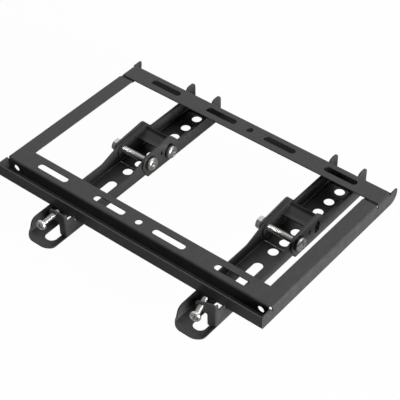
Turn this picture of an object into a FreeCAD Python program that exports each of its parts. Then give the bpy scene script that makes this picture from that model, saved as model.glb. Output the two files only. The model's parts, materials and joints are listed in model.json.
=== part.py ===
import FreeCAD, Part
import math
import os

V = FreeCAD.Vector

# Frame: the origin is the centre of the wall slots on the wall face. +X runs along the rails,
# +Y is up the wall, +Z points into the wall. The object lies with its wall face upward.

# Sheet metal
SHEET = 1.5
BEND = 1.0
FIT = 0.3

# Wall plate
PLATE_HALF_X = 178.7
STRAP_INNER_X = PLATE_HALF_X - 19.0
RAIL_SLOT_Y = 93.3
RAIL_INNER_Y = 81.5
NEAR_WALL_Y = -104.8
GUTTER_LIP_Y = -120.0
GUTTER_LIP_TOP = -0.5
FLANGE_BOTTOM = -17.0
FLANGE_FAR_Y = 115.0
FLANGE_TIP_TOP = -0.5
FLANGE_CORNER_R = 11.0
RELIEF = 1.2
JOGGLE_START_Y = 77.5
JOGGLE_RUN = 3.0
UPPER_WALL_Y = 105.0
STRAP_END_Y = UPPER_WALL_Y - SHEET - BEND
UPPER_HALF_X = PLATE_HALF_X - 2.2
SLOT_XS = (-121.0, -40.5, 40.5, 121.0)
SLOT_LENGTH = 42.0
SLOT_WIDTH = 8.0
SIDE_HOLE_X = PLATE_HALF_X - 13.0
SIDE_HOLE_Z = -10.0
SIDE_HOLE_D = 8.0

# Arms
ARM_PITCH = 200.0
ARM_XS = {"left": -84.5, "right": ARM_PITCH - 84.5}
HOOK_HALF = 19.5
HOOK_BOTTOM = -32.8
TONGUE_TIP_Y = -160.0
REST_Y = -146.0
REST_RUN = 4.0
SHOULDER_YS = (-37.0, -9.0, 35.0, 45.0)
SHOULDER_ZS = (-8.4, -4.4)
TONGUE_CORNER_R = 14.0
HOOK_FLANGE_TOP = FLANGE_BOTTOM - 0.6
NECK_Y = FLANGE_FAR_Y + FIT
HOOK_LEG = 8.3
HOOK_END_Y = NECK_Y + HOOK_LEG
HOOK_NOSE_Y = UPPER_WALL_Y + SHEET + BEND
HOOK_TOP = -1.2
HOOK_MOUTH_TOP = FLANGE_BOTTOM + SHEET + FIT
HOOK_CORNER_R = 6.0
WINDOW_HALF = HOOK_HALF - SHEET - BEND - 1.0
WINDOW_START_Y = -9.2
WINDOW_END_Y = 111.5
WINDOW_CORNER_R = 3.0
TONGUE_OPENING_HALF = 7.2
TONGUE_OPENING_X = 4.9
TONGUE_OPENING_Y = (-149.0, -104.0)
WEB_SLOT_Y = (-66.0, -37.3)
WEB_HOLE_D = 11.5
HOLE_PITCH = 20.0
FIRST_TV_HOLE_Y = 3.4
TV_HOLE_COUNT = 6

# Television arms
WEB_GAP = 0.9
SIDE_GAP = 0.5
TV_HALF = HOOK_HALF + SIDE_GAP + SHEET
TV_BOTTOM = HOOK_BOTTOM - SHEET - WEB_GAP
TV_FLANGE_TOP = FLANGE_BOTTOM - FIT
TV_WEB_START_Y = -6.0
TV_END_Y = 122.0
PIVOT = (-2.4, -16.8)
TILT_BOLT = (30.0, -21.5)
TILT_RANGE = 10.0
EAR_R = 13.0
STIRRUP_HALF = HOOK_HALF - SHEET - FIT
STIRRUP_EAR = ((-11, -27), (38, -27), (41, -20), (37, -6), (33, -5.6), (-7, -9.6), (-12.5, -15))
STIRRUP_RADII = (5, 5, 4, 2, 6, 5, 5)
STIRRUP_PLATE = ((36.6, -8.5), (34.6, -12.6), (25.4, -16.4), (20, -16.4))
STIRRUP_ROLL = 2.4
MARK_YS = (15.2, 17.8)
MARK_ZS = (-19.0, -13.0)
MARK_R = 1.2

# Fasteners
BOLT_D = 8.0
BOLT_CLEAR_D = 8.6
WASHER_D = 17.0
WASHER_T = 1.6
BOLT_HEAD_D = 15.5
BOLT_HEAD_T = 3.6
NUT_AF = 13.0
NUT_T = 6.5
BOLT_TIP = 1.5
LOCK_D = 6.0
LOCK_HEAD_D = 12.0
LOCK_HEAD_T = 3.8
LOCK_SHANK = 24.2
LOCK_LUG_TO_TIP = {"left": 6.9, "right": 11.6}
LOCK_YAW = {"left": 1.8, "right": 16.7}
LOCK_Z = -7.5
LUG_FOLD_Y = -135.0
LUG_HOLE_REACH = 16.1
LUG_TIP = 5.5
LUG_HALF_Z = 6.7
LUG_STRIP = 9.0
LUG_LEG = 3.5
EAR_SHOULDER = -9.5
EAR_END_Y = GUTTER_LIP_Y - 0.8


def intersect(p, d, q, e):
    """The point where the line through p along d crosses the line through q along e."""
    across = d[0] * e[1] - d[1] * e[0]
    along = ((q[0] - p[0]) * e[1] - (q[1] - p[1]) * e[0]) / across
    return (p[0] + along * d[0], p[1] + along * d[1])


def unit(p, q):
    length = math.hypot(q[0] - p[0], q[1] - p[1])
    return ((q[0] - p[0]) / length, (q[1] - p[1]) / length)


def offset_points(points, side, distance):
    """The same run of points moved sideways; side is +1 for left and -1 for right."""
    moved = []
    directions = [unit(p, q) for p, q in zip(points, points[1:])]
    shifts = [(-d[1] * side * distance, d[0] * side * distance) for d in directions]
    moved.append((points[0][0] + shifts[0][0], points[0][1] + shifts[0][1]))
    for i in range(1, len(directions)):
        start = (points[i][0] + shifts[i - 1][0], points[i][1] + shifts[i - 1][1])
        other = (points[i][0] + shifts[i][0], points[i][1] + shifts[i][1])
        moved.append(intersect(start, directions[i - 1], other, directions[i]))
    moved.append((points[-1][0] + shifts[-1][0], points[-1][1] + shifts[-1][1]))
    return moved


def tangent_run(points, radii, place):
    """Edges along the points, with a tangent arc at each inner point; place maps 2D to 3D."""
    edges = []
    start = points[0]
    for i in range(1, len(points) - 1):
        before = unit(points[i], points[i - 1])
        after = unit(points[i], points[i + 1])
        half = math.acos(max(-1.0, min(1.0, before[0] * after[0] + before[1] * after[1]))) / 2
        cut = radii[i - 1] / math.tan(half)
        entry = (points[i][0] + before[0] * cut, points[i][1] + before[1] * cut)
        leave = (points[i][0] + after[0] * cut, points[i][1] + after[1] * cut)
        bisector = unit((0, 0), (before[0] + after[0], before[1] + after[1]))
        reach = radii[i - 1] / math.sin(half) - radii[i - 1]
        middle = (points[i][0] + bisector[0] * reach, points[i][1] + bisector[1] * reach)
        edges.append(Part.LineSegment(place(start), place(entry)).toShape())
        edges.append(Part.Arc(place(entry), place(middle), place(leave)).toShape())
        start = leave
    edges.append(Part.LineSegment(place(start), place(points[-1])).toShape())
    return edges


def sheet_face(points, side, place, bend=BEND):
    """A sheet's section: the given faces, and the other side one thickness away."""
    turns = []
    for p, q, r in zip(points, points[1:], points[2:]):
        cross = (q[0] - p[0]) * (r[1] - q[1]) - (q[1] - p[1]) * (r[0] - q[0])
        turns.append(1 if cross > 0 else -1)
    outer = [bend if turn == side else bend + SHEET for turn in turns]
    given = [bend + SHEET if turn == side else bend for turn in turns]
    other = offset_points(points, side, SHEET)
    edges = tangent_run(points, given, place)
    back = tangent_run(other, outer, place)
    edges.append(Part.LineSegment(place(points[-1]), place(other[-1])).toShape())
    edges.extend(back)
    edges.append(Part.LineSegment(place(other[0]), place(points[0])).toShape())
    return Part.Face(Part.Wire(Part.__sortEdges__(edges)))


def outline(points, radii, place):
    """A closed flat outline with a round of its own at each corner; 0 keeps it sharp."""
    edges = []
    ends = []
    count = len(points)
    for i in range(count):
        before = unit(points[i], points[i - 1])
        after = unit(points[i], points[(i + 1) % count])
        if radii[i] <= 0:
            ends.append((points[i], points[i], None))
            continue
        half = math.acos(max(-1.0, min(1.0, before[0] * after[0] + before[1] * after[1]))) / 2
        cut = radii[i] / math.tan(half)
        bisector = unit((0, 0), (before[0] + after[0], before[1] + after[1]))
        reach = radii[i] / math.sin(half) - radii[i]
        entry = (points[i][0] + before[0] * cut, points[i][1] + before[1] * cut)
        leave = (points[i][0] + after[0] * cut, points[i][1] + after[1] * cut)
        middle = (points[i][0] + bisector[0] * reach, points[i][1] + bisector[1] * reach)
        ends.append((entry, leave, middle))
    for i in range(count):
        entry, leave, middle = ends[i]
        if middle is not None:
            edges.append(Part.Arc(place(entry), place(middle), place(leave)).toShape())
        following = ends[(i + 1) % count][0]
        if math.hypot(following[0] - leave[0], following[1] - leave[1]) > 1e-6:
            edges.append(Part.LineSegment(place(leave), place(following)).toShape())
    return Part.Face(Part.Wire(Part.__sortEdges__(edges)))


def on_yz(x):
    return lambda p: V(x, p[0], p[1])


def on_xz(y):
    return lambda p: V(p[0], y, p[1])


def on_xy(z):
    return lambda p: V(p[0], p[1], z)


def box(x0, x1, y0, y1, z0, z1):
    return Part.makeBox(x1 - x0, y1 - y0, z1 - z0, V(x0, y0, z0))


def slot_tool(x0, x1, y, width, z0, z1):
    """A round-ended slot along X, cut through from z0 to z1."""
    r = width / 2
    tool = box(x0 + r, x1 - r, y - r, y + r, z0, z1)
    for x in (x0 + r, x1 - r):
        tool = tool.fuse(Part.makeCylinder(r, z1 - z0, V(x, y, z0)))
    return tool


def lengthwise_slot_tool(x, half, y0, y1, z0, z1, corner):
    """A slot along Y with rounded corners, cut through from z0 to z1."""
    points = [(x - half, y0), (x + half, y0), (x + half, y1), (x - half, y1)]
    return outline(points, [corner] * 4, on_xy(z0)).extrude(V(0, 0, z1 - z0))


def fused(shapes):
    whole = shapes[0].multiFuse(shapes[1:])
    return whole.removeSplitter()


def rail_cuts(y):
    tools = [Part.makeCylinder(SLOT_WIDTH / 2, 8, V(0, y, -5))]
    for x in SLOT_XS:
        tools.append(slot_tool(x - SLOT_LENGTH / 2, x + SLOT_LENGTH / 2, y, SLOT_WIDTH, -5, 3))
    return tools


def side_strap(sign):
    """One side strap with its flange, joggled down under the upper rail at its far end."""
    inner = sign * STRAP_INNER_X
    edge = sign * PLATE_HALF_X
    turn = -sign
    flat_x = sign * (PLATE_HALF_X - SHEET)
    level = [(NEAR_WALL_Y + SHEET + BEND, 0), (JOGGLE_START_Y, 0),
             (JOGGLE_START_Y + JOGGLE_RUN, -SHEET), (STRAP_END_Y, -SHEET)]
    x0 = min(inner, flat_x)
    flat = sheet_face(level, -1, on_yz(x0)).extrude(V(abs(flat_x - inner) - BEND, 0, 0))
    if sign < 0:
        flat.translate(V(BEND, 0, 0))
    pieces = [flat]
    spans = ((NEAR_WALL_Y + SHEET + BEND, JOGGLE_START_Y, 0),
             (JOGGLE_START_Y + JOGGLE_RUN, STRAP_END_Y, -SHEET))
    for y0, y1, top in spans:
        corner = [(sign * (PLATE_HALF_X - 8), top), (edge, top), (edge, FLANGE_BOTTOM)]
        pieces.append(sheet_face(corner, turn, on_xz(y0)).extrude(V(0, y1 - y0, 0)))
    low = -SHEET * 2 - BEND
    tip_y = STRAP_END_Y + FIT
    shape = [(GUTTER_LIP_Y + FIT, FLANGE_BOTTOM), (FLANGE_FAR_Y, FLANGE_BOTTOM),
             (FLANGE_FAR_Y, FLANGE_TIP_TOP), (tip_y, FLANGE_TIP_TOP), (tip_y, low),
             (NEAR_WALL_Y, low), (NEAR_WALL_Y, GUTTER_LIP_TOP),
             (GUTTER_LIP_Y + FIT, GUTTER_LIP_TOP)]
    radii = [2, FLANGE_CORNER_R, 2, 1, 0, 0, 1, 2]
    plate_x = min(edge, flat_x)
    pieces.append(outline(shape, radii, on_yz(plate_x)).extrude(V(SHEET, 0, 0)))
    return fused(pieces)


def lower_rail():
    """The lower rail's flat and the gutter folded down, out and up along its edge."""
    run = [(-RAIL_INNER_Y, 0), (NEAR_WALL_Y, 0), (NEAR_WALL_Y, FLANGE_BOTTOM + SHEET),
           (GUTTER_LIP_Y + SHEET, FLANGE_BOTTOM + SHEET), (GUTTER_LIP_Y + SHEET, GUTTER_LIP_TOP)]
    half = PLATE_HALF_X - SHEET - FIT
    rail = sheet_face(run, 1, on_yz(-half)).extrude(V(half * 2, 0, 0))
    relief_x = PLATE_HALF_X - SHEET - BEND
    for sign in (-1, 1):
        x0, x1 = sorted((sign * (relief_x - RELIEF), sign * (PLATE_HALF_X + 1)))
        notch = box(x0, x1, NEAR_WALL_Y - 1, NEAR_WALL_Y + SHEET + BEND, -4.5, 1)
        rail = rail.cut(notch)
    return rail


def base_frame():
    parts = [lower_rail(), side_strap(-1), side_strap(1)]
    frame = fused(parts)
    for tool in rail_cuts(-RAIL_SLOT_Y):
        frame = frame.cut(tool)
    for sign in (-1, 1):
        hole = Part.makeCylinder(SIDE_HOLE_D / 2, 6,
                                 V(sign * SIDE_HOLE_X, NEAR_WALL_Y - 2, SIDE_HOLE_Z), V(0, 1, 0))
        frame = frame.cut(hole)
    return frame


def upper_rail():
    """The upper rail: a flat over the strap ends, a wall down and a ledge for the hooks."""
    run = [(RAIL_INNER_Y, 0), (UPPER_WALL_Y, 0), (UPPER_WALL_Y, FLANGE_BOTTOM + SHEET),
           (FLANGE_FAR_Y, FLANGE_BOTTOM + SHEET)]
    rail = sheet_face(run, -1, on_yz(-UPPER_HALF_X)).extrude(V(UPPER_HALF_X * 2, 0, 0))
    for tool in rail_cuts(RAIL_SLOT_Y):
        rail = rail.cut(tool)
    return rail


def channel(half, bottom, y0, y1):
    """A channel open towards the wall, with its folds at the outer lower corners."""
    run = [(-half, 5), (-half, bottom), (half, bottom), (half, 5)]
    return sheet_face(run, 1, on_xz(y0)).extrude(V(0, y1 - y0, 0))


def flange_prism(points, radii, x0, x1):
    return outline(points, radii, on_yz(x0)).extrude(V(x1 - x0, 0, 0))


def hook_flange_outline(near_points, near_radii):
    """One flange's side view, from the near end round to the hook and back along the floor."""
    points = near_points + [
        (SHOULDER_YS[0], HOOK_FLANGE_TOP), (SHOULDER_YS[1], SHOULDER_ZS[0]),
        (SHOULDER_YS[2], SHOULDER_ZS[1]), (SHOULDER_YS[3], HOOK_FLANGE_TOP),
        (NECK_Y, HOOK_FLANGE_TOP), (NECK_Y, HOOK_MOUTH_TOP), (HOOK_NOSE_Y, HOOK_MOUTH_TOP),
        (HOOK_NOSE_Y, HOOK_TOP), (HOOK_END_Y, HOOK_TOP), (HOOK_END_Y, HOOK_BOTTOM - 1)]
    radii = near_radii + [12, 10, 6, 4, 0.3, 0.3, 0.8, HOOK_CORNER_R, HOOK_CORNER_R, 0]
    return points, radii


def lock_axis(side):
    angle = math.radians(LOCK_YAW[side])
    return V(-math.sin(angle), math.cos(angle), 0)


def lug_point(side):
    """The middle of the lug's threaded hole, on the lug's near face."""
    angle = math.radians(LOCK_YAW[side])
    return V(HOOK_HALF - LUG_HOLE_REACH * math.cos(angle),
             LUG_FOLD_Y - LUG_HOLE_REACH * math.sin(angle), LOCK_Z)


def lug(side):
    """The end of the side folded inward, square to the lock screw, with a tab at its top."""
    angle = math.radians(LOCK_YAW[side])
    reach = LUG_HOLE_REACH + LUG_TIP
    low = HOOK_BOTTOM + SHEET + FIT
    top = LOCK_Z + LUG_HALF_Z
    end = (HOOK_HALF - reach * math.cos(angle), LUG_FOLD_Y - reach * math.sin(angle))
    run = [(HOOK_HALF, LUG_FOLD_Y + LUG_LEG), (HOOK_HALF, LUG_FOLD_Y), end]
    tab = sheet_face(run, -1, on_xy(low)).extrude(V(0, 0, top - low))
    strip_x = HOOK_HALF - LUG_STRIP
    shape = [(strip_x, low), (HOOK_HALF + 1, low), (HOOK_HALF + 1, top), (end[0] - 1, top),
             (end[0] - 1, LOCK_Z - LUG_HALF_Z), (strip_x, LOCK_Z - LUG_HALF_Z)]
    near = end[1] - SHEET - 1
    mask = outline(shape, [2, 0, 5, 5, 5, 3], on_xz(near))
    return tab.common(mask.extrude(V(0, LUG_FOLD_Y + LUG_LEG + 1 - near, 0)))


def lock_hole(side, radius):
    direction = lock_axis(side)
    return Part.makeCylinder(radius, 24, lug_point(side) - direction * 12, direction)


def hook_arm(side):
    """The long channel that hangs on the wall plate."""
    body = channel(HOOK_HALF, HOOK_BOTTOM, TONGUE_TIP_Y, HOOK_END_Y)
    floor = HOOK_BOTTOM - 1
    rim = HOOK_BOTTOM + SHEET + BEND
    leg_y = LUG_FOLD_Y + LUG_LEG
    left_near = [(TONGUE_TIP_Y, floor), (TONGUE_TIP_Y, rim), (REST_Y - REST_RUN, rim),
                 (REST_Y, HOOK_FLANGE_TOP)]
    right_near = [(TONGUE_TIP_Y, floor), (TONGUE_TIP_Y, rim), (leg_y - 1, rim),
                  (leg_y - 1, EAR_SHOULDER), (EAR_END_Y, EAR_SHOULDER),
                  (EAR_END_Y, HOOK_FLANGE_TOP)]
    left_points, left_radii = hook_flange_outline(left_near, [0, 0, 1, 9])
    right_points, right_radii = hook_flange_outline(right_near, [0, 0, 0, 0, 3, 1])
    left_mask = flange_prism(left_points, left_radii, -HOOK_HALF - 1, 0)
    right_mask = flange_prism(right_points, right_radii, 0, HOOK_HALF + 1)
    body = body.common(left_mask.fuse(right_mask))
    plan = [(-HOOK_HALF - 1, TONGUE_TIP_Y), (HOOK_HALF + 1, TONGUE_TIP_Y),
            (HOOK_HALF + 1, HOOK_END_Y), (-HOOK_HALF - 1, HOOK_END_Y)]
    plan_mask = outline(plan, [TONGUE_CORNER_R + 1, TONGUE_CORNER_R + 1, 0, 0], on_xy(-60))
    body = body.common(plan_mask.extrude(V(0, 0, 80)))
    z0 = HOOK_BOTTOM - 1
    z1 = HOOK_BOTTOM + SHEET + 0.5
    cuts = [
        lengthwise_slot_tool(0, WINDOW_HALF, WINDOW_START_Y, WINDOW_END_Y, z0, z1,
                             WINDOW_CORNER_R),
        lengthwise_slot_tool(TONGUE_OPENING_X, TONGUE_OPENING_HALF, TONGUE_OPENING_Y[0],
                             TONGUE_OPENING_Y[1], z0, z1, TONGUE_OPENING_HALF - 0.5),
        lengthwise_slot_tool(0, WEB_HOLE_D / 2, WEB_SLOT_Y[0], WEB_SLOT_Y[1], z0, z1,
                             WEB_HOLE_D / 2 - 0.01),
        Part.makeCylinder(WEB_HOLE_D / 2, z1 - z0, V(0, FIRST_TV_HOLE_Y - HOLE_PITCH, z0)),
        box(-HOOK_HALF - 1, HOOK_HALF + 1, WINDOW_START_Y, 4, z0, HOOK_BOTTOM + SHEET),
        cross_hole(PIVOT, BOLT_CLEAR_D),
        cross_hole(TILT_BOLT, BOLT_CLEAR_D)]
    for tool in cuts:
        body = body.cut(tool)
    body = body.fuse(lug(side)).removeSplitter()
    return body.cut(lock_hole(side, LOCK_D / 2 + 0.05))


def cross_hole(centre, diameter):
    """A hole along X through both sides of an arm."""
    reach = TV_HALF + 5
    return Part.makeCylinder(diameter / 2, reach * 2, V(-reach, centre[0], centre[1]), V(1, 0, 0))


def tilt_stirrup():
    """The inner bracket: two ears and a cross plate that slopes down towards the pivot."""
    inner = STIRRUP_HALF - SHEET
    ear = STIRRUP_EAR
    radii = STIRRUP_RADII
    pieces = []
    for x in (-STIRRUP_HALF, inner):
        pieces.append(outline(ear, radii, on_yz(x)).extrude(V(SHEET, 0, 0)))
    plate = sheet_face(STIRRUP_PLATE, -1, on_yz(-inner - 0.2), STIRRUP_ROLL)
    plate = plate.extrude(V(inner * 2 + 0.4, 0, 0))
    body = fused(pieces + [plate])
    body = body.cut(cross_hole(PIVOT, BOLT_CLEAR_D))
    return body.cut(cross_hole(TILT_BOLT, BOLT_CLEAR_D))


def arc_slot():
    """The curved slot that lets the arm swing past the tilt bolt."""
    dy = TILT_BOLT[0] - PIVOT[0]
    dz = TILT_BOLT[1] - PIVOT[1]
    radius = math.hypot(dy, dz)
    start = math.degrees(math.atan2(dz, dy)) - 0.7
    sweep = TILT_RANGE + 1.4
    half = BOLT_CLEAR_D / 2
    reach = TV_HALF + 5
    ring = Part.makeCylinder(radius + half, reach * 2)
    ring = ring.cut(Part.makeCylinder(radius - half, reach * 2))
    wedge = Part.makeCylinder(radius + half + 5, reach * 2, V(0, 0, 0), V(0, 0, 1), sweep)
    tool = ring.common(wedge)
    for angle in (0, sweep):
        turned = math.radians(angle)
        centre = V(radius * math.cos(turned), radius * math.sin(turned), 0)
        tool = tool.fuse(Part.makeCylinder(half, reach * 2, centre))
    tool.rotate(V(0, 0, 0), V(0, 0, 1), start)
    tool.rotate(V(0, 0, 0), V(1, 1, 1), 120)
    tool.translate(V(-reach, PIVOT[0], PIVOT[1]))
    return tool


def tv_arm():
    """The outer channel that the television is bolted to, turning about the pivot bolt."""
    body = channel(TV_HALF, TV_BOTTOM, -30, TV_END_Y)
    pivot_y, pivot_z = PIVOT
    side = [(pivot_y - EAR_R, pivot_z), (pivot_y - 9, -6.4), (34, -2.2), (47, TV_FLANGE_TOP),
            (TV_END_Y, TV_FLANGE_TOP), (TV_END_Y, TV_BOTTOM - 1), (TV_WEB_START_Y, TV_BOTTOM - 1),
            (TV_WEB_START_Y, TV_BOTTOM + SHEET + BEND), (pivot_y - 8, -28)]
    radii = [7, 6, 7, 5, 5, 0, 0, 0, 6]
    body = body.common(flange_prism(side, radii, -TV_HALF - 1, TV_HALF + 1))
    z0 = TV_BOTTOM - 1
    for i in range(TV_HOLE_COUNT):
        y = FIRST_TV_HOLE_Y + i * HOLE_PITCH
        body = body.cut(Part.makeCylinder(WEB_HOLE_D / 2, 4, V(0, y, z0)))
    body = body.cut(cross_hole(PIVOT, BOLT_CLEAR_D))
    body = body.cut(arc_slot())
    marker = [(MARK_YS[0], MARK_ZS[0]), (MARK_YS[1], MARK_ZS[0]), (MARK_YS[1], MARK_ZS[1]),
              (MARK_YS[0], MARK_ZS[1])]
    reach = TV_HALF + 2
    return body.cut(flange_prism(marker, [MARK_R] * 4, -reach, reach))


def washer(centre, inner_x):
    """A flat washer along X with its -X face at inner_x."""
    base = V(inner_x, centre[0], centre[1])
    disc = Part.makeCylinder(WASHER_D / 2, WASHER_T, base, V(1, 0, 0))
    return disc.cut(Part.makeCylinder(BOLT_CLEAR_D / 2, WASHER_T, base, V(1, 0, 0)))


def head_washer(centre):
    return washer(centre, TV_HALF + FIT)


def nut_washer(centre):
    return washer(centre, -TV_HALF - FIT - WASHER_T)


def cross_recess(depth, length, width):
    """A cross-shaped driver recess opening towards +X, its mouth at x = 0."""
    blade = box(-depth, 1, -length / 2, length / 2, -width / 2, width / 2)
    other = box(-depth, 1, -width / 2, width / 2, -length / 2, length / 2)
    return blade.fuse(other)


def domed_head(diameter, height):
    """A pan head standing on x = 0 and rising towards +X."""
    r = diameter / 2
    edge = height * 0.45
    profile = [V(0, 0, 0), V(0, r, 0), V(edge, r, 0)]
    crown = V(height, r * 0.45, 0)
    bulge = V(edge + (height - edge) * 0.72, r * 0.82, 0)
    edges = [Part.LineSegment(profile[0], profile[1]).toShape(),
             Part.LineSegment(profile[1], profile[2]).toShape(),
             Part.Arc(profile[2], bulge, crown).toShape(),
             Part.LineSegment(crown, V(height, 0, 0)).toShape(),
             Part.LineSegment(V(height, 0, 0), profile[0]).toShape()]
    head = Part.Face(Part.Wire(edges)).revolve(V(0, 0, 0), V(1, 0, 0), 360)
    recess = cross_recess(height * 0.6, diameter * 0.56, diameter * 0.14)
    recess.translate(V(height, 0, 0))
    return head.cut(recess)


def cross_bolt(centre):
    """A bolt along X: head on the +X side, plain shank, tip past the nut."""
    head_x = TV_HALF + FIT + WASHER_T
    tip_x = -head_x - NUT_T - BOLT_TIP
    shank = Part.makeCylinder(BOLT_D / 2, head_x - tip_x, V(tip_x, 0, 0), V(1, 0, 0))
    head = domed_head(BOLT_HEAD_D, BOLT_HEAD_T)
    head.translate(V(head_x, 0, 0))
    bolt = shank.fuse(head).removeSplitter()
    bolt.translate(V(0, centre[0], centre[1]))
    return bolt


def hex_nut(centre):
    x = -TV_HALF - FIT - WASHER_T - NUT_T
    corner = NUT_AF / math.sqrt(3)
    points = []
    for i in range(6):
        angle = math.radians(60 * i)
        points.append((centre[0] + corner * math.cos(angle), centre[1] + corner * math.sin(angle)))
    body = outline(points, [0] * 6, on_yz(x)).extrude(V(NUT_T, 0, 0))
    base = V(x, centre[0], centre[1])
    rounding = Part.makeCone(corner - 1.2, corner - 1.2 + NUT_T * 1.7, NUT_T, base, V(1, 0, 0))
    body = body.common(rounding)
    return body.cut(Part.makeCylinder(BOLT_D / 2, NUT_T, base, V(1, 0, 0)))


def lock_screw(side):
    """The pan-head screw that closes on the lower rail's lip."""
    shank = Part.makeCylinder(LOCK_D / 2 - 0.05, LOCK_SHANK, V(-LOCK_SHANK, 0, 0), V(1, 0, 0))
    screw = shank.fuse(domed_head(LOCK_HEAD_D, LOCK_HEAD_T)).removeSplitter()
    screw.rotate(V(0, 0, 0), V(0, 0, 1), -90 + LOCK_YAW[side])
    screw.translate(lug_point(side) + lock_axis(side) * (LOCK_LUG_TO_TIP[side] - LOCK_SHANK))
    return screw


def moved(shape, x):
    shape.translate(V(x, 0, 0))
    return shape


def write(name, shape):
    if not shape.isValid():
        raise ValueError(name + " is not a valid shape")
    shape.exportStep("parts/" + name + ".step")


def arm_pieces(side):
    pieces = {
        "hook_arm": hook_arm(side),
        "tilt_stirrup": tilt_stirrup(),
        "tv_arm": tv_arm(),
        "pivot_bolt": cross_bolt(PIVOT),
        "pivot_nut": hex_nut(PIVOT),
        "pivot_head_washer": head_washer(PIVOT),
        "pivot_nut_washer": nut_washer(PIVOT),
        "lock_screw": lock_screw(side)}
    if side == "left":
        pieces["tilt_bolt"] = cross_bolt(TILT_BOLT)
        pieces["tilt_nut"] = hex_nut(TILT_BOLT)
        pieces["tilt_head_washer"] = head_washer(TILT_BOLT)
        pieces["tilt_nut_washer"] = nut_washer(TILT_BOLT)
    return pieces


os.makedirs("parts", exist_ok=True)
write("base_frame", base_frame())
write("upper_rail", upper_rail())
for side, arm_x in ARM_XS.items():
    for name, shape in arm_pieces(side).items():
        write(side + "_" + name, moved(shape, arm_x))
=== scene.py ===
import json
import math

import bmesh
import bpy
from mathutils import Matrix, Vector

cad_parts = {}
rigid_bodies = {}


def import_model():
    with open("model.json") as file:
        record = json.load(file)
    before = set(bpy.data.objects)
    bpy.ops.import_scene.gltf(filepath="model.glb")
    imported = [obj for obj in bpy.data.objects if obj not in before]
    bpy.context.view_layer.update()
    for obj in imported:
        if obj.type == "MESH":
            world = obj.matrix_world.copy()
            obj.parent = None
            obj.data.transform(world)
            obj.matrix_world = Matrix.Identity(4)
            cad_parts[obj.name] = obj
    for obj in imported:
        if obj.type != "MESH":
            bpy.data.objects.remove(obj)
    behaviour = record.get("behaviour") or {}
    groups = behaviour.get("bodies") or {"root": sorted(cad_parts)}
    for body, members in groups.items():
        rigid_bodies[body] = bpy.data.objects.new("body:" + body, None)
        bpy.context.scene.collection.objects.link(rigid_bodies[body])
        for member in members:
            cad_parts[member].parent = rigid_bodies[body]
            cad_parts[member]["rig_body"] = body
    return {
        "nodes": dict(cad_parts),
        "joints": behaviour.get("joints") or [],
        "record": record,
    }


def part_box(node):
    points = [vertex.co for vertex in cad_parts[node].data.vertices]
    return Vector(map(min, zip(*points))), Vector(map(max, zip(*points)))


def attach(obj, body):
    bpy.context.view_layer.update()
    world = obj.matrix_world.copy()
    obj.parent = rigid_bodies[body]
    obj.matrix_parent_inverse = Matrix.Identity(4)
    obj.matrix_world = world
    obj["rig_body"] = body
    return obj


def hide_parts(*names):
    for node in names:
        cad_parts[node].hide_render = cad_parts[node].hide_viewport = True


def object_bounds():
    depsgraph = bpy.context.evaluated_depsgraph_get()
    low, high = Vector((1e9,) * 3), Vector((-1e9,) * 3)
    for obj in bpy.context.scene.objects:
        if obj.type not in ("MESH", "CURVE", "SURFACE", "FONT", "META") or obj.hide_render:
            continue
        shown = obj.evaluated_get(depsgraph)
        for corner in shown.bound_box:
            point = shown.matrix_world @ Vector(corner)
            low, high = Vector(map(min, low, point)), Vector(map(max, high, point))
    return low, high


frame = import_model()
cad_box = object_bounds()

bl_info = {
    "name": "Tilting television bracket",
    "version": (1, 0, 0),
    "blender": (4, 5, 0),
    "location": "View3D > Sidebar > TV bracket",
    "description": "Coated plate and arms, plated bolts and a studio for a tilting wall bracket",
    "category": "Object",
}

MM = 0.001
SIDES = ("left", "right")

# Folded sheets
SHEET = 1.5 * MM
MERGE_DISTANCE = 0.002 * MM
FLAT_ANGLE = math.radians(0.6)  # faces that meet at less than this become one
EDGE_ANGLE = math.radians(42)  # an edge sharper than this is a cut edge
WEB_SLOT_TIP = -79.5 * MM
WEB_SLOT_WITHIN = -56 * MM  # a place inside the slot that the solid has
WEB_SLOT_RADIUS = 5.7 * MM

# Patterns in the finishes
COAT_RELIEF = 0.12 * MM
PLATING_RELIEF = 0.03 * MM
SPECK = 0.28  # how much lighter or darker than the coat a grain can be
PLATE_LIFT = 1.35  # how much lighter than its colour the coat can be on the wall plate
ARM_LIFT = 1.2  # the same on the arms
PEEL_WIDTH = 9 * MM
BLOOM_WIDTH = 5 * MM
SCUFF_WIDTH = 0.9 * MM  # drawn coarser than it is, to show
STAIN_WIDTH = 3 * MM

# Bolts and lock screws
BOLT_RADIUS = 4.0 * MM
LOCK_RADIUS = 2.97 * MM
LOCK_HEAD_HEIGHT = 3.8 * MM
TIP_SLICE = 0.05 * MM  # the corners this close to a lock screw's tip make its tip face
SHANK_OVERLAP = 0.4 * MM  # how far a shank runs into its head
HEAD_EDGE = 0.38  # share of a pan head's height that lies below its dome
HEAD_DOME = 0.42  # share of the radius that the dome takes off on its way to the crown
CROSS_LENGTH = 1.28  # share of the head's radius
CROSS_WIDTH = 0.31  # share of the head's radius
CROSS_DEPTH = 0.8  # share of the head's height
THREAD_DEPTH = 0.5  # share of the pitch
THREAD_LEAD_IN = 1.2  # turns from the tip to the full thread
THREAD_RINGS = 7  # rings of corners in each turn
THREAD_CORNERS = 28  # corners in each ring

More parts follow.
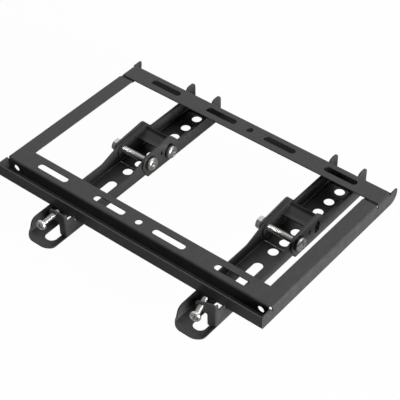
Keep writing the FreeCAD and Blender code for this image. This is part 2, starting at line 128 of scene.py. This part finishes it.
# Studio
FLOOR_HALF = 4.0  # metres from the middle to an edge
FLOOR_DROP = 23 * MM  # at full tilt the television arms reach about 21 mm lower than at rest
FLOOR_MATT = "#A0A0A0"
FLOOR_GLOW = 1.05
FLOOR_SEEN = 0.94  # share of the glow that the camera sees, over a matt floor that takes shadows
FLOOR_MIRRORED = 0.12  # share of the glow that the steel mirrors
ROOM_LIGHT = 0.015
WALL_TOWARDS = (-0.47, 0.56, 0.68)  # where the room's bright wall lies
WALL_EDGE = 0.35  # cosine of the angle from the wall's middle to its edge
WALL_CORE = 0.9  # cosine of the angle within which it is white
ROOM_MIRRORED = 0.35  # how bright the steel mirrors the rest of the room
LAMPS = (  # name, place, width, watts
    ("top_lamp", (0.9, 0.5, 2.2), 1.6, 12),
    ("side_lamp", (2.8, -0.2, 0.35), 1.4, 230),
)


class PlateFinish(bpy.types.PropertyGroup):
    """How the folded sheets look after blanking and coating."""
    coat_colour: bpy.props.StringProperty(
        name="Coat colour", description="Satin black polyester powder, as an sRGB hex value",
        default="#303031")
    coat_roughness: bpy.props.FloatProperty(
        name="Coat roughness", description="Satin powder coat", default=0.37, min=0.0, max=1.0,
        subtype="FACTOR")
    # The real grain is about 0.3 mm wide, too fine to show, so it is drawn this much coarser.
    grain: bpy.props.FloatProperty(
        name="Grain", description="Width of one grain of the coat, drawn coarser than it is",
        default=1.1 * MM, unit="LENGTH")
    edge_round: bpy.props.FloatProperty(
        name="Edge round", description="Radius that coating leaves on a blanked edge",
        default=0.28 * MM, unit="LENGTH")


class FastenerSizes(bpy.types.PropertyGroup):
    """Sizes of the plated bolts and lock screws."""
    bolt_pitch: bpy.props.FloatProperty(
        name="Bolt pitch", description="Coarse pitch of an 8 mm thread", default=1.25 * MM,
        unit="LENGTH")
    screw_pitch: bpy.props.FloatProperty(
        name="Screw pitch", description="Coarse pitch of a 6 mm thread", default=1.0 * MM,
        unit="LENGTH")
    plating_colour: bpy.props.StringProperty(
        name="Plating colour", description="Bright zinc, as an sRGB hex value", default="#CACBC8")
    plating_roughness: bpy.props.FloatProperty(
        name="Plating roughness", description="Bright zinc after barrel plating", default=0.27,
        min=0.0, max=1.0, subtype="FACTOR")
    edge_round: bpy.props.FloatProperty(
        name="Edge round", description="Radius on the edges of the nuts and washers",
        default=0.18 * MM, unit="LENGTH")


class StudioSizes(bpy.types.PropertyGroup):
    """The camera's place and lens, and the floor's colour."""
    aim: bpy.props.FloatVectorProperty(
        name="Aim", description="Point on the line of sight", size=3,
        default=(3.0 * MM, 1.8 * MM, -37.1 * MM), subtype="TRANSLATION")
    distance: bpy.props.FloatProperty(
        name="Distance", description="From the aim to the camera", default=1440 * MM, unit="LENGTH")
    heading: bpy.props.FloatProperty(
        name="Heading", description="Turn of the view from +Y towards -X",
        default=math.radians(39.74), subtype="ANGLE")
    elevation: bpy.props.FloatProperty(
        name="Elevation", description="How far the camera looks down",
        default=math.radians(42.87), subtype="ANGLE")
    roll: bpy.props.FloatProperty(
        name="Roll", description="Turn of the camera about its line of sight",
        default=math.radians(-0.85), subtype="ANGLE")
    lens: bpy.props.FloatProperty(
        name="Lens", description="Focal length in millimetres on a 36 mm sensor", default=119.8)
    floor_colour: bpy.props.StringProperty(
        name="Floor colour", description="Pale sweep under the bracket, as an sRGB hex value",
        default="#FEFEFE")


def linear(hex_colour):
    """An sRGB hex colour as linear red, green, blue and alpha."""
    digits = hex_colour.lstrip("#")
    channels = [int(digits[i:i + 2], 16) / 255 for i in (0, 2, 4)]
    values = [c / 12.92 if c <= 0.04045 else ((c + 0.055) / 1.055) ** 2.4 for c in channels]
    return (*values, 1.0)


def add(tree, kind, settings=None, **links):
    """Adds a node with its properties and sockets. A socket goes by its name or number and takes
    a value or another node's socket."""
    node = tree.nodes.new(kind)
    for key, value in (settings or {}).items():
        if isinstance(value, bpy.types.NodeSocket):
            tree.links.new(value, node.inputs[key])
        elif isinstance(key, int) or key in node.inputs:
            node.inputs[key].default_value = value
        else:
            setattr(node, key, value)
    for key, source in links.items():
        tree.links.new(source, node.inputs[key.replace("_", " ")])
    return node


def set_stops(ramp, *stops):
    """Gives a colour ramp its stops, as rising (place, colour) pairs."""
    while len(ramp.elements) < len(stops):
        ramp.elements.new(0.5)
    for element, (place, colour) in zip(ramp.elements, stops):
        element.position = place
        element.color = colour


def new_material(name, slot_name):
    """An empty material that stands for one of the record's slots."""
    material = bpy.data.materials.new(name)
    material.use_nodes = True
    material.node_tree.nodes.clear()
    material["slot"] = slot_name
    return material


def powder_coat(name, slot_name, colour, lift):
    """Satin black polyester powder, sprayed and baked on: fine grain, soft broad highlights, and
    slow waves where the melt flowed, in which the colour is lifted."""
    finish = bpy.context.scene.plate_finish
    material = new_material(name, slot_name)
    tree = material.node_tree
    place = add(tree, "ShaderNodeTexCoord").outputs["Object"]
    grain = add(tree, "ShaderNodeTexNoise", {"Scale": 1 / finish.grain, "Detail": 3.0,
                                             "Roughness": 0.6}, Vector=place)
    speck = add(tree, "ShaderNodeMapRange", {"From Min": 0.3, "From Max": 0.7,
                                             "To Min": 1 - SPECK, "To Max": 1 + SPECK},
                Value=grain.outputs["Fac"])
    peel = add(tree, "ShaderNodeTexNoise", {"Scale": 1 / PEEL_WIDTH, "Detail": 2.0}, Vector=place)
    base = linear(colour)
    light = tuple(min(1.0, c * lift) for c in base[:3]) + (1.0,)
    tint = add(tree, "ShaderNodeValToRGB", Fac=peel.outputs["Fac"])
    set_stops(tint.color_ramp, (0.35, base), (0.7, light))
    tinted = add(tree, "ShaderNodeVectorMath",
                 {"operation": "SCALE", 0: tint.outputs["Color"]}, Scale=speck.outputs["Result"])
    rough = add(tree, "ShaderNodeMapRange", {"To Min": finish.coat_roughness - 0.05,
                                             "To Max": finish.coat_roughness + 0.07},
                Value=grain.outputs["Fac"])
    waves = add(tree, "ShaderNodeBump", {"Strength": 0.18, "Distance": COAT_RELIEF},
                Height=peel.outputs["Fac"])
    bump = add(tree, "ShaderNodeBump", {"Strength": 0.7, "Distance": COAT_RELIEF},
               Height=grain.outputs["Fac"], Normal=waves.outputs["Normal"])
    shader = add(tree, "ShaderNodeBsdfPrincipled", {"Metallic": 0.0, "IOR": 1.52},
                 Base_Color=tinted.outputs["Vector"], Roughness=rough.outputs["Result"],
                 Normal=bump.outputs["Normal"])
    add(tree, "ShaderNodeOutputMaterial", Surface=shader.outputs["BSDF"])
    return material


def zinc_plate(name, slot_name):
    """Barrel-plated bright zinc: clear metal with a faint blue and straw bloom and fine scuffs.
    Real scuffs are too fine to show, so they are drawn coarser."""
    sizes = bpy.context.scene.fastener_sizes
    material = new_material(name, slot_name)
    tree = material.node_tree
    place = add(tree, "ShaderNodeTexCoord").outputs["Object"]
    bloom = add(tree, "ShaderNodeTexNoise", {"Scale": 1 / BLOOM_WIDTH, "Detail": 3.0}, Vector=place)
    scuff = add(tree, "ShaderNodeTexNoise", {"Scale": 1 / SCUFF_WIDTH, "Detail": 4.0,
                                             "Roughness": 0.7}, Vector=place)
    tint = add(tree, "ShaderNodeValToRGB", Fac=bloom.outputs["Fac"])
    set_stops(tint.color_ramp, (0.3, linear("#C2C6C9")), (0.5, linear(sizes.plating_colour)),
              (0.72, linear("#CFCBC0")))
    rough = add(tree, "ShaderNodeMapRange", {"To Min": sizes.plating_roughness - 0.06,
                                             "To Max": sizes.plating_roughness + 0.12},
                Value=scuff.outputs["Fac"])
    bump = add(tree, "ShaderNodeBump", {"Strength": 0.12, "Distance": PLATING_RELIEF},
               Height=scuff.outputs["Fac"])
    shader = add(tree, "ShaderNodeBsdfPrincipled", {"Metallic": 1.0},
                 Base_Color=tint.outputs["Color"], Roughness=rough.outputs["Result"],
                 Normal=bump.outputs["Normal"])
    add(tree, "ShaderNodeOutputMaterial", Surface=shader.outputs["BSDF"])
    return material


def blackened_steel(name, slot_name):
    """Oil-blackened washers: dark brown-grey metal, duller than the plating and cloudy."""
    material = new_material(name, slot_name)
    tree = material.node_tree
    place = add(tree, "ShaderNodeTexCoord").outputs["Object"]
    stain = add(tree, "ShaderNodeTexNoise", {"Scale": 1 / STAIN_WIDTH, "Detail": 4.0}, Vector=place)
    tint = add(tree, "ShaderNodeValToRGB", Fac=stain.outputs["Fac"])
    set_stops(tint.color_ramp, (0.3, linear("#2B2A28")), (0.75, linear("#4A4843")))
    bump = add(tree, "ShaderNodeBump", {"Strength": 0.2, "Distance": PLATING_RELIEF},
               Height=stain.outputs["Fac"])
    shader = add(tree, "ShaderNodeBsdfPrincipled", {"Metallic": 0.8, "Roughness": 0.42},
                 Base_Color=tint.outputs["Color"], Normal=bump.outputs["Normal"])
    add(tree, "ShaderNodeOutputMaterial", Surface=shader.outputs["BSDF"])
    return material


def material_for(slot_name):
    """The finish of one material slot, made once."""
    for material in bpy.data.materials:
        if material.get("slot") == slot_name:
            return material
    finish = bpy.context.scene.plate_finish
    if slot_name == "plate_black":
        return powder_coat("powder_coat_plate", slot_name, finish.coat_colour, PLATE_LIFT)
    if slot_name == "arm_black":
        return powder_coat("powder_coat_arms", slot_name, finish.coat_colour, ARM_LIFT)
    if slot_name == "washer_black":
        return blackened_steel("blackened_washer", slot_name)
    return zinc_plate("bright_zinc", slot_name)


def node_slot(node):
    """The material slot that the record gives a CAD node."""
    for row in frame["record"]["subparts"]:
        if row["node"] == node:
            return row["material_slot"]
    raise KeyError(node)


def node_body(node):
    """The body that a CAD node rides on."""
    return frame["nodes"][node]["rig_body"]


def linked(name, mesh):
    """An object for the mesh, in the scene."""
    piece = bpy.data.objects.new(name, mesh)
    bpy.context.scene.collection.objects.link(piece)
    return piece


def baked(piece):
    """Turns the piece and its modifiers into a plain mesh."""
    bpy.context.view_layer.update()
    graph = bpy.context.evaluated_depsgraph_get()
    mesh = bpy.data.meshes.new_from_object(piece.evaluated_get(graph))
    mesh.name = piece.name
    piece.modifiers.clear()
    piece.data = mesh
    return piece


def shade(piece, angle=30.0):
    """Smooth faces with the edges past the angle kept crisp."""
    piece.data.shade_smooth()
    piece.data.set_sharp_from_angle(angle=math.radians(angle))


def flatten_shading(piece):
    """Lets the large flat faces set the normals, so that no gradient runs over a sheet."""
    weigh = piece.modifiers.new("flat_faces", "WEIGHTED_NORMAL")
    weigh.mode = "FACE_AREA"
    weigh.weight = 100
    weigh.keep_sharp = True
    baked(piece)


def merged_copy(node, name):
    """A copy of a CAD node's mesh with its loose triangles joined and its flats cleaned."""
    mesh = frame["nodes"][node].data.copy()
    mesh.name = name
    bm = bmesh.new()
    bm.from_mesh(mesh)
    bmesh.ops.remove_doubles(bm, verts=bm.verts, dist=MERGE_DISTANCE)
    bmesh.ops.dissolve_limit(bm, angle_limit=FLAT_ANGLE, verts=bm.verts, edges=bm.edges)
    bm.to_mesh(mesh)
    bm.free()
    mesh.materials.clear()
    return linked(name, mesh)


def ring(bm, x, radius, count):
    """A ring of corners about the X axis."""
    corners = []
    for i in range(count):
        turn = 2 * math.pi * i / count
        corners.append(bm.verts.new((x, radius * math.cos(turn), radius * math.sin(turn))))
    return corners


def skin(bm, rings):
    """Joins the rings in order, with as many corners in each, and closes both ends."""
    for first, second in zip(rings, rings[1:]):
        for i in range(len(first)):
            following = (i + 1) % len(first)
            bm.faces.new((first[i], first[following], second[following], second[i]))
    bm.faces.new(rings[0])
    bm.faces.new(rings[-1])


def solid_mesh(bm, name):
    """Turns the faces outwards and makes a mesh of them."""
    bmesh.ops.recalc_face_normals(bm, faces=bm.faces)
    mesh = bpy.data.meshes.new(name)
    bm.to_mesh(mesh)
    bm.free()
    return mesh


def slot_cutter(x, start, end, radius, low, high):
    """A round-ended bar along Y that cuts a slot between two heights."""
    bm = bmesh.new()
    arc_steps = 16
    outlines = []
    for z in (low, high):
        outline = []
        for middle_y, facing in ((start + radius, math.pi), (end - radius, 0.0)):
            for i in range(arc_steps + 1):
                turn = facing + math.pi * i / arc_steps
                outline.append(bm.verts.new((x + radius * math.cos(turn),
                                             middle_y + radius * math.sin(turn), z)))
        outlines.append(outline)
    skin(bm, outlines)
    return linked("slot_cutter", solid_mesh(bm, "slot_cutter"))


def cut_away(piece, cutter):
    """Takes the cutter's shape out of the piece and deletes the cutter."""
    cut = piece.modifiers.new("cut", "BOOLEAN")
    cut.operation = "DIFFERENCE"
    cut.solver = "EXACT"
    cut.object = cutter
    baked(piece)
    bpy.data.objects.remove(cutter)


def lengthen_web_slot(piece, side):
    """Carries the web's long slot on under the near rail."""
    node = side + "_hook_arm"
    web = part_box(node)[0].z
    cut_away(piece, slot_cutter(middle_of(node).x, WEB_SLOT_TIP, WEB_SLOT_WITHIN, WEB_SLOT_RADIUS,
                                web - SHEET, web + 2 * SHEET))


def rounded_piece(node, name, radius):
    """A node's shape with its cut edges rounded, riding on the node's body in its place."""
    piece = merged_copy(node, name)
    bevel = piece.modifiers.new("edge_round", "BEVEL")
    bevel.width = radius
    bevel.segments = 2
    bevel.limit_method = "ANGLE"
    bevel.angle_limit = EDGE_ANGLE
    bevel.use_clamp_overlap = True
    bevel.miter_outer = "MITER_SHARP"
    baked(piece)
    if node.endswith("hook_arm"):
        lengthen_web_slot(piece, node.split("_")[0])
    shade(piece)
    flatten_shading(piece)
    finish_piece(piece, node_slot(node), node_body(node), node)


def finish_piece(piece, slot_name, body, *nodes):
    """Material, body, slot and the CAD nodes that the piece stands for."""
    piece.data.materials.clear()
    piece.data.materials.append(material_for(slot_name))
    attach(piece, body)
    if nodes:
        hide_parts(*nodes)


def thread_height(x, turn, pitch, depth):
    """How far the thread stands above its root at a place along the shank."""
    flank = 1.35  # above 1 it leaves a flat crest
    root = 0.1  # above 0 it leaves a flat root
    phase = (x / pitch - turn) % 1.0
    rise = 1 - abs(phase * 2 - 1)
    return depth * min(1.0, max(0.0, rise * flank - root))


def threaded_shank(bm, start, end, radius, pitch):
    """A right-hand threaded shank along X, with a lead-in at its tip and both ends closed."""
    steps = int((end - start) / (pitch / THREAD_RINGS))
    depth = pitch * THREAD_DEPTH
    rings = []
    for i in range(steps + 1):
        x = start + (end - start) * i / steps
        lead_in = min(1.0, (x - start) / (pitch * THREAD_LEAD_IN))
        corners = []
        for j in range(THREAD_CORNERS):
            turn = j / THREAD_CORNERS
            reach = radius - depth + thread_height(x, turn, pitch, depth) * lead_in
            angle = 2 * math.pi * turn
            corners.append(bm.verts.new((x, reach * math.cos(angle), reach * math.sin(angle))))
        rings.append(corners)
    skin(bm, rings)


def head_profile(radius, height):
    """A pan head from its seat to its crown, as (height, radius) pairs. The seat starts inside
    the shank, and the rim is rolled."""
    edge = height * HEAD_EDGE
    rim = radius - 0.1 * MM
    points = [(0.0, radius * 0.35), (0.0, radius - 0.25 * MM), (0.15 * MM, radius - 0.05 * MM),
              (edge * 0.5, radius), (edge, rim)]
    steps = 9
    for i in range(1, steps + 1):
        turn = math.pi / 2 * i / steps
        points.append((edge + (height - edge) * math.sin(turn),
                       rim * (1 - HEAD_DOME * (1 - math.cos(turn)))))
    return points


def head_mesh(radius, height):
    """A closed pan head about the X axis, its seat at x = 0."""
    bm = bmesh.new()
    corners = 64
    skin(bm, [ring(bm, x, reach, corners) for x, reach in head_profile(radius, height)])
    return solid_mesh(bm, "pan_head")


def cross_cutter(length, width, depth, mouth):
    """The driver's cross, which narrows from its mouth on the crown to its bottom."""
    bm = bmesh.new()
    half = width / 2
    reach = length / 2
    corners = [(reach, -half), (reach, half), (half, half), (half, reach), (-half, reach),
               (-half, half), (-reach, half), (-reach, -half), (-half, -half), (-half, -reach),
               (half, -reach), (half, -half)]
    above = 1 * MM
    levels = ((mouth + above, 1.1), (mouth, 1.0), (mouth - depth * 0.7, 0.66),
              (mouth - depth, 0.25))
    skin(bm, [[bm.verts.new((x, y * share, z * share)) for y, z in corners]
              for x, share in levels])
    return linked("cross_cutter", solid_mesh(bm, "cross_cutter"))


def pan_head_screw(name, radius, shank, pitch, head_radius, head_height):
    """A pan-head screw along X: its seat at x = 0, its shank towards -X."""
    screw = linked(name, head_mesh(head_radius, head_height))
    cut_away(screw, cross_cutter(head_radius * CROSS_LENGTH, head_radius * CROSS_WIDTH,
                                 head_height * CROSS_DEPTH, head_height))
    bm = bmesh.new()
    bm.from_mesh(screw.data)
    threaded_shank(bm, -shank, SHANK_OVERLAP, radius, pitch)
    bmesh.ops.recalc_face_normals(bm, faces=bm.faces)
    bm.to_mesh(screw.data)
    bm.free()
    shade(screw, angle=38)
    return screw


def fastener_row_tree():
    """Copies one fastener from a first place by even steps: the pivot bolt, then the tilt bolt."""
    name = "fastener_row"
    if name in bpy.data.node_groups:
        return bpy.data.node_groups[name]
    tree = bpy.data.node_groups.new(name, "GeometryNodeTree")
    face = tree.interface
    face.new_socket("Geometry", in_out="INPUT", socket_type="NodeSocketGeometry")
    for label, kind in (("Fastener", "NodeSocketObject"), ("Count", "NodeSocketInt"),
                        ("First", "NodeSocketVector"), ("Step", "NodeSocketVector"),
                        ("Finish", "NodeSocketMaterial")):
        face.new_socket(label, in_out="INPUT", socket_type=kind)
    face.new_socket("Geometry", in_out="OUTPUT", socket_type="NodeSocketGeometry")
    given = add(tree, "NodeGroupInput")
    line = add(tree, "GeometryNodeMeshLine", {"mode": "OFFSET"}, Count=given.outputs["Count"],
               Start_Location=given.outputs["First"], Offset=given.outputs["Step"])
    part = add(tree, "GeometryNodeObjectInfo", {"transform_space": "ORIGINAL"},
               Object=given.outputs["Fastener"])
    copies = add(tree, "GeometryNodeInstanceOnPoints", Points=line.outputs["Mesh"],
                 Instance=part.outputs["Geometry"])
    real = add(tree, "GeometryNodeRealizeInstances", Geometry=copies.outputs["Instances"])
    coat = add(tree, "GeometryNodeSetMaterial", Geometry=real.outputs["Geometry"],
               Material=given.outputs["Finish"])
    add(tree, "NodeGroupOutput", Geometry=coat.outputs["Geometry"])
    return tree


def fastener_row(name, model, first, step, count, slot_name):
    """A plain mesh with the model copied from first by steps."""
    holder = linked(name, bpy.data.meshes.new(name))
    row = holder.modifiers.new("row", "NODES")
    row.node_group = fastener_row_tree()
    values = {"Fastener": model, "Count": count, "First": first, "Step": step,
              "Finish": material_for(slot_name)}
    for item in row.node_group.interface.items_tree:
        if item.in_out == "INPUT" and item.name in values:
            row[item.identifier] = values[item.name]
    holder.data.update()
    return baked(holder)


def middle(points):
    """The middle of the points' box."""
    low = [min(p[i] for p in points) for i in range(3)]
    high = [max(p[i] for p in points) for i in range(3)]
    return (Vector(low) + Vector(high)) / 2


def middle_of(node):
    """The middle of a CAD node's box."""
    low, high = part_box(node)
    return (low + high) / 2


def present(*names):
    """Those of the names that are CAD nodes."""
    return [name for name in names if name in frame["nodes"]]


class WallPlate(bpy.types.Operator):
    """Round the cut edges of the wall plate's frame and upper rail and coat them"""
    bl_idname = "tvmount.wall_plate"
    bl_label = "Wall plate"

    def execute(self, context):
        radius = context.scene.plate_finish.edge_round
        rounded_piece("base_frame", "coated_base_frame", radius)
        rounded_piece("upper_rail", "coated_upper_rail", radius)
        return {"FINISHED"}


class Arms(bpy.types.Operator):
    """Round the cut edges of the hooked arms, inner brackets and television arms and coat them"""
    bl_idname = "tvmount.arms"
    bl_label = "Arms"

    def execute(self, context):
        radius = context.scene.plate_finish.edge_round
        for side in SIDES:
            for part in ("hook_arm", "tilt_stirrup", "tv_arm"):
                node = side + "_" + part
                rounded_piece(node, side + "_coated_" + part, radius)
        return {"FINISHED"}


class CrossBolts(bpy.types.Operator):
    """Make the plated bolts through the ears, threaded, with a cross recess in the head"""
    bl_idname = "tvmount.cross_bolts"
    bl_label = "Pivot and tilt bolts"

    def execute(self, context):
        pitch = context.scene.fastener_sizes.bolt_pitch
        low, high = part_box("left_pivot_bolt")
        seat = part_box("left_pivot_head_washer")[1].x
        model = pan_head_screw("bolt_model", BOLT_RADIUS, seat - low.x, pitch,
                               (high.y - low.y) / 2, high.x - seat)
        for side in SIDES:
            nodes = present(side + "_pivot_bolt", side + "_tilt_bolt")
            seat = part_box(side + "_pivot_head_washer")[1].x
            places = [Vector((seat, *middle_of(node).yz)) for node in nodes]
            piece = fastener_row(side + "_cross_bolts", model, places[0], places[-1] - places[0],
                                 len(nodes), "zinc")
            finish_piece(piece, "zinc", node_body(nodes[0]), *nodes)
        bpy.data.objects.remove(model)
        return {"FINISHED"}


class NutsAndWashers(bpy.types.Operator):
    """Round the edges of the nuts and washers and plate or blacken them"""
    bl_idname = "tvmount.nuts_and_washers"
    bl_label = "Nuts and washers"

    def execute(self, context):
        radius = context.scene.fastener_sizes.edge_round
        for side in SIDES:
            for bolt in ("_pivot", "_tilt"):
                for node in present(side + bolt + "_nut", side + bolt + "_head_washer",
                                    side + bolt + "_nut_washer"):
                    rounded_piece(node, "finished_" + node, radius)
        return {"FINISHED"}


class LockScrews(bpy.types.Operator):
    """Make the plated lock screws along their joints' axes"""
    bl_idname = "tvmount.lock_screws"
    bl_label = "Lock screws"

    def execute(self, context):
        pitch = context.scene.fastener_sizes.screw_pitch
        for joint in frame["joints"]:
            if joint["name"].endswith("lock_travel"):
                make_lock_screw(joint["child"], Vector(joint["axis"]).normalized(), pitch)
        return {"FINISHED"}


def make_lock_screw(node, axis, pitch):
    """One lock screw, measured along its axis from the CAD node's corners."""
    corners = [vertex.co for vertex in frame["nodes"][node].data.vertices]
    along = [axis.dot(corner) for corner in corners]
    tip = max(along)
    tip_middle = middle([corner for corner in corners if axis.dot(corner) > tip - TIP_SLICE])
    low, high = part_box(node)
    shank = tip - min(along) - LOCK_HEAD_HEIGHT
    screw = pan_head_screw(node + "_model", LOCK_RADIUS, shank, pitch, (high.z - low.z) / 2,
                           LOCK_HEAD_HEIGHT)
    across = axis.cross(Vector((0, 0, 1)))
    turn = Matrix((-axis, across, (-axis).cross(across))).transposed().to_4x4()
    screw.data.transform(Matrix.Translation(tip_middle - axis * shank) @ turn)
    screw.name = "plated_" + node
    finish_piece(screw, "zinc", node_body(node), node)


class Studio(bpy.types.Operator):
    """Set the pale floor, the lamps, the world and the camera"""
    bl_idname = "tvmount.studio"
    bl_label = "Studio"

    def execute(self, context):
        make_floor()
        make_lamps()
        make_world()
        make_camera(context.scene.studio_sizes)
        context.scene.view_settings.view_transform = "Standard"
        return {"FINISHED"}


def shown_by_ray(tree, lit, shown, camera_share, mirror_share):
    """Mixes what the camera sees and the steel mirrors into what lights the bracket."""
    path = add(tree, "ShaderNodeLightPath")
    seen = add(tree, "ShaderNodeMath",
               {"operation": "MULTIPLY", 0: path.outputs["Is Camera Ray"], 1: camera_share})
    bounced = add(tree, "ShaderNodeMath",
                  {"operation": "MAXIMUM", 0: path.outputs["Is Glossy Ray"],
                   1: path.outputs["Is Transmission Ray"]})
    mirrored = add(tree, "ShaderNodeMath",
                   {"operation": "MULTIPLY", 0: bounced.outputs["Value"], 1: mirror_share})
    share = add(tree, "ShaderNodeMath",
                {"operation": "MAXIMUM", 0: seen.outputs["Value"], 1: mirrored.outputs["Value"]})
    mix = add(tree, "ShaderNodeMixShader", {1: lit, 2: shown}, Fac=share.outputs["Value"])
    return mix.outputs["Shader"]


def pale_sweep():
    """Matt paper that the camera sees nearly white, with the bracket's soft shadow on it."""
    material = bpy.data.materials.new("matt_paper_sweep")
    material.use_nodes = True
    tree = material.node_tree
    tree.nodes.clear()
    colour = linear(bpy.context.scene.studio_sizes.floor_colour)
    matt = add(tree, "ShaderNodeBsdfDiffuse", {"Color": linear(FLOOR_MATT)})
    glow = add(tree, "ShaderNodeEmission", {"Color": colour, "Strength": FLOOR_GLOW})
    surface = shown_by_ray(tree, matt.outputs["BSDF"], glow.outputs["Emission"],
                           camera_share=FLOOR_SEEN, mirror_share=FLOOR_MIRRORED)
    add(tree, "ShaderNodeOutputMaterial", Surface=surface)
    return material


def make_floor():
    """A wide pale floor, low enough for the television arms at full tilt."""
    bm = bmesh.new()
    bmesh.ops.create_grid(bm, x_segments=8, y_segments=8, size=FLOOR_HALF)
    mesh = bpy.data.meshes.new("floor")
    for vertex in bm.verts:
        vertex.co.z = cad_box[0][2] - FLOOR_DROP
    bm.to_mesh(mesh)
    bm.free()
    floor = linked("floor", mesh)
    floor.data.materials.append(pale_sweep())


def make_lamps():
    """A soft lamp overhead and a strong low one beside the right strap."""
    for name, place, width, watts in LAMPS:
        light = bpy.data.lights.new(name, "AREA")
        light.shape = "SQUARE"
        light.size = width
        light.energy = watts
        lamp = bpy.data.objects.new(name, light)
        lamp.location = place
        lamp.rotation_euler = (-Vector(place)).to_track_quat("-Z", "Y").to_euler()
        bpy.context.scene.collection.objects.link(lamp)


def make_world():
    """Dim light from all round. The camera sees white, and the steel mirrors a bright wall
    behind the bracket on the left."""
    world = bpy.data.worlds.new("soft_room")
    world.use_nodes = True
    bpy.context.scene.world = world
    tree = world.node_tree
    tree.nodes.clear()
    colour = linear("#FFFFFF")
    room = add(tree, "ShaderNodeBackground", {"Color": colour, "Strength": ROOM_LIGHT})
    white = add(tree, "ShaderNodeBackground", {"Color": colour, "Strength": 1.0})
    towards = add(tree, "ShaderNodeTexCoord").outputs["Generated"]
    nearness = add(tree, "ShaderNodeVectorMath",
                   {"operation": "DOT_PRODUCT", 0: towards, 1: WALL_TOWARDS})
    wall = add(tree, "ShaderNodeMapRange",
               {"From Min": WALL_EDGE, "From Max": WALL_CORE, "To Min": ROOM_MIRRORED,
                "To Max": 1.0}, Value=nearness.outputs["Value"])
    surface = shown_by_ray(tree, room.outputs["Background"], white.outputs["Background"],
                           camera_share=1.0, mirror_share=wall.outputs["Result"])
    add(tree, "ShaderNodeOutputWorld", Surface=surface)


def make_camera(sizes):
    """The camera looks down at the wall face from the lower right."""
    heading = sizes.heading
    level = math.cos(sizes.elevation)
    sight = Vector((-math.sin(heading) * level, math.cos(heading) * level,
                    -math.sin(sizes.elevation)))
    flat_right = Vector((math.cos(heading), math.sin(heading), 0))
    flat_up = flat_right.cross(sight)
    right = flat_right * math.cos(sizes.roll) + flat_up * math.sin(sizes.roll)
    up = right.cross(sight)
    data = bpy.data.cameras.new("camera")
    data.lens = sizes.lens
    data.sensor_width = 36.0
    data.clip_start = 0.01
    camera = bpy.data.objects.new("camera", data)
    turn = Matrix((right, up, -sight)).transposed().to_4x4()
    camera.matrix_world = Matrix.Translation(Vector(sizes.aim) - sight * sizes.distance) @ turn
    bpy.context.scene.collection.objects.link(camera)
    bpy.context.scene.camera = camera


class BracketPanel(bpy.types.Panel):
    """Lists the steps that dress the bracket"""
    bl_idname = "VIEW3D_PT_tvmount"
    bl_label = "TV bracket"
    bl_space_type = "VIEW_3D"
    bl_region_type = "UI"
    bl_category = "TV bracket"

    def draw(self, context):
        for step in STEPS:
            self.layout.operator(step.bl_idname)
        for group_name, group in GROUPS:
            column = self.layout.column()
            for name in group.__annotations__:
                column.prop(getattr(context.scene, group_name), name)


STEPS = (WallPlate, Arms, CrossBolts, NutsAndWashers, LockScrews, Studio)
GROUPS = (("plate_finish", PlateFinish), ("fastener_sizes", FastenerSizes),
          ("studio_sizes", StudioSizes))


def register():
    """Adds the settings, the steps and their panel to Blender."""
    for name, group in GROUPS:
        bpy.utils.register_class(group)
        setattr(bpy.types.Scene, name, bpy.props.PointerProperty(type=group))
    for step in STEPS:
        bpy.utils.register_class(step)
    bpy.utils.register_class(BracketPanel)


def unregister():
    """Takes them out again, in the other order."""
    bpy.utils.unregister_class(BracketPanel)
    for step in reversed(STEPS):
        bpy.utils.unregister_class(step)
    for name, group in reversed(GROUPS):
        delattr(bpy.types.Scene, name)
        bpy.utils.unregister_class(group)


def main():
    register()
    bpy.ops.tvmount.wall_plate()
    bpy.ops.tvmount.arms()
    bpy.ops.tvmount.cross_bolts()
    bpy.ops.tvmount.nuts_and_washers()
    bpy.ops.tvmount.lock_screws()
    bpy.ops.tvmount.studio()


if __name__ == "__main__":
    main()
